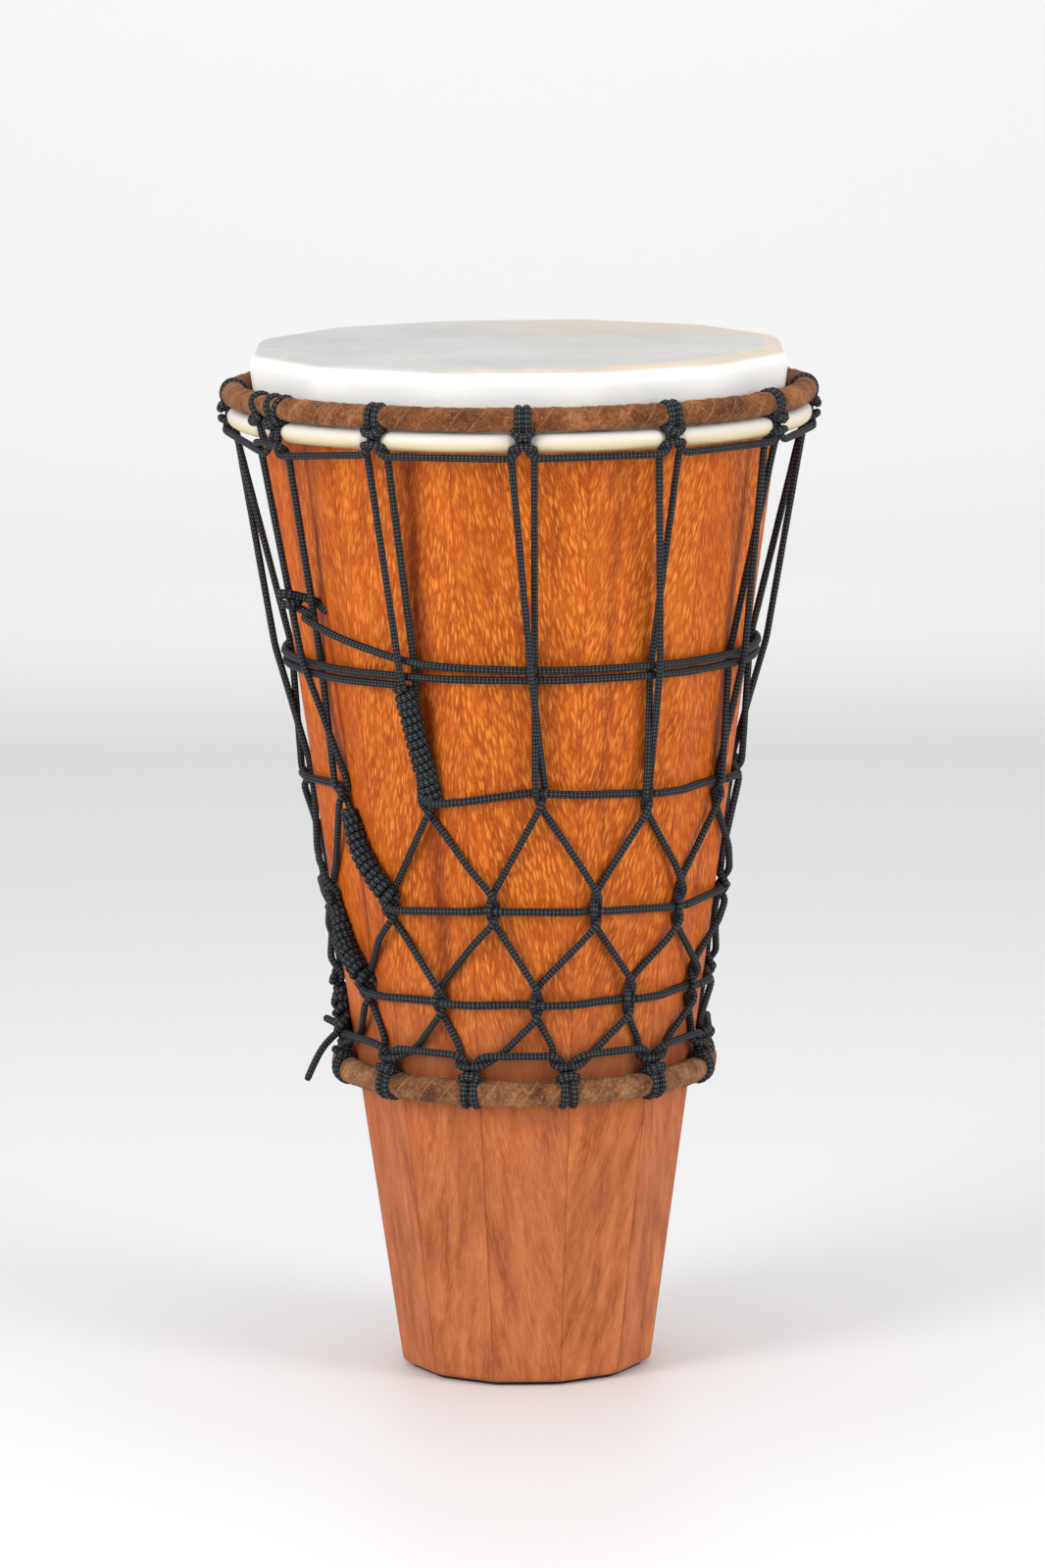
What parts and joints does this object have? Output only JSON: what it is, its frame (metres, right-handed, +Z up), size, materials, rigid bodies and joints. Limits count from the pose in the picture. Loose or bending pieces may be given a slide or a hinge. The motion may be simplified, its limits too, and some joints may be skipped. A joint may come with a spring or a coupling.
{
  "type": "hand drum",
  "caption": "Tapered hand drum built of wooden staves, with a pale skin head, suede-bound rings and black tuning rope woven round its sides.",
  "frame": {"origin": "centre of the circle that the foot rests on", "axes": "+Z up along the drum's axis towards the head, -Y towards the front"},
  "size_m": [0.3488, 0.3488, 0.6],
  "materials": {
    "wood": "satin",
    "rubber": "matte",
    "skin": "matte",
    "steel": "satin",
    "crown_wrap": "matte",
    "lower_wrap": "matte",
    "rope": "matte"
  },
  "bodies": {
    "root": {"stave_01": "wood", "stave_02": "wood", "stave_03": "wood", "stave_04": "wood", "stave_05": "wood", "stave_06": "wood", "stave_07": "wood", "stave_08": "wood", "stave_09": "wood", "stave_10": "wood", "stave_11": "wood", "stave_12": "wood", "foot_ring": "rubber", "drumhead_skin": "skin", "flesh_hoop": "steel", "crown_ring": "steel", "crown_ring_wrap": "crown_wrap", "lower_ring": "steel", "lower_ring_wrap": "lower_wrap", "upper_cradle_rope": "rope", "cradle_closing_loop": "rope", "lower_cradle_rope": "rope", "tension_rope_run_01": "rope", "tension_rope_run_02": "rope", "tension_rope_run_03": "rope", "tension_rope_run_04": "rope", "tension_rope_run_05": "rope", "tension_rope_run_06": "rope", "tension_rope_run_07": "rope", "tension_rope_run_08": "rope", "tension_rope_run_09": "rope", "tension_rope_run_10": "rope", "tension_rope_run_11": "rope", "tension_rope_run_12": "rope", "belt_rope": "rope", "belt_knot": "rope", "weave_row_1": "rope", "weave_row_2": "rope", "weave_row_3": "rope", "rope_coil_1": "rope", "rope_coil_2": "rope", "rope_coil_3": "rope", "rope_coil_4": "rope", "end_knot": "rope", "rope_tail": "rope"}
  },
  "joints": []
}
